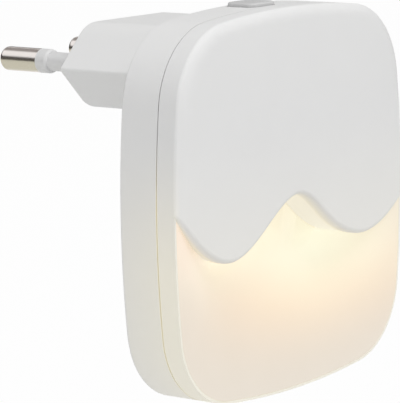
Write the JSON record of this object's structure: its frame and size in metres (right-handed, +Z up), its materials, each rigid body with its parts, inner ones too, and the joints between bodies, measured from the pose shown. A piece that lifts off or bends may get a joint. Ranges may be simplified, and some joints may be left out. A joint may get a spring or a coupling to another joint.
{
  "type": "plug-in night light",
  "caption": "Plug-in wall night light: rounded square housing on a flat mains plug, wavy-edged cover over a glowing dished diffuser, and a push button on top.",
  "frame": {"origin": "middle of the plug's engagement face, between the two pins", "axes": "+Y along the pins into the wall socket, +Z up, +X to the right seen from the room; the lit face looks along -Y"},
  "size_m": [0.062, 0.0537, 0.062],
  "materials": {
    "white_plastic": "satin moulded white",
    "milky_plastic": "milky, translucent, lit from behind",
    "grey_plastic": "satin moulded grey",
    "nickel_pin": "nickel-plated, bright",
    "sleeve_plastic": "smooth white",
    "inner_plastic": "moulded natural",
    "screw_steel": "zinc-plated",
    "board": "green varnished fibre board",
    "spring_brass": "bright rolled strip",
    "spring_steel": "drawn wire",
    "film_case": "yellow boxed case",
    "capacitor_can": "dark sleeved can",
    "varistor_coat": "blue dipped coat",
    "black_case": "moulded black",
    "resistor_coat": "dipped beige coat",
    "chip_ceramic": "dark glazed film",
    "led_case": "white case with a warm phosphor window",
    "reflector_sheet": "bright white sheet"
  },
  "bodies": {
    "housing": {"bleed_resistors": "chip_ceramic", "board_screws": "screw_steel", "bridge_rectifier": "black_case", "circuit_board": "board", "contact_spring_left": "spring_brass", "contact_spring_right": "spring_brass", "diffuser": "milky_plastic", "electrolytic_capacitor": "capacitor_can", "film_capacitor": "film_case", "front_housing": "white_plastic", "fuse_resistor": "resistor_coat", "housing_screws": "screw_steel", "leds": "led_case", "light_reflector": "reflector_sheet", "pin_left": "nickel_pin", "pin_retainer": "inner_plastic", "pin_right": "nickel_pin", "pin_sleeve_left": "sleeve_plastic", "pin_sleeve_right": "sleeve_plastic", "rear_housing": "white_plastic", "retainer_screw": "screw_steel", "switch_body": "black_case", "switch_spring": "spring_steel", "varistor": "varistor_coat"},
    "button": {"button": "grey_plastic", "switch_plunger": "inner_plastic"}
  },
  "joints": [
    {"name": "button_press", "type": "slide", "parent": "housing", "child": "button", "axis": [0, 0, -1], "range_m": [0, 0.0005], "stiffness_N_per_m": 600, "springref_m": -0.0005, "deforming": ["switch_spring"]}
  ]
}
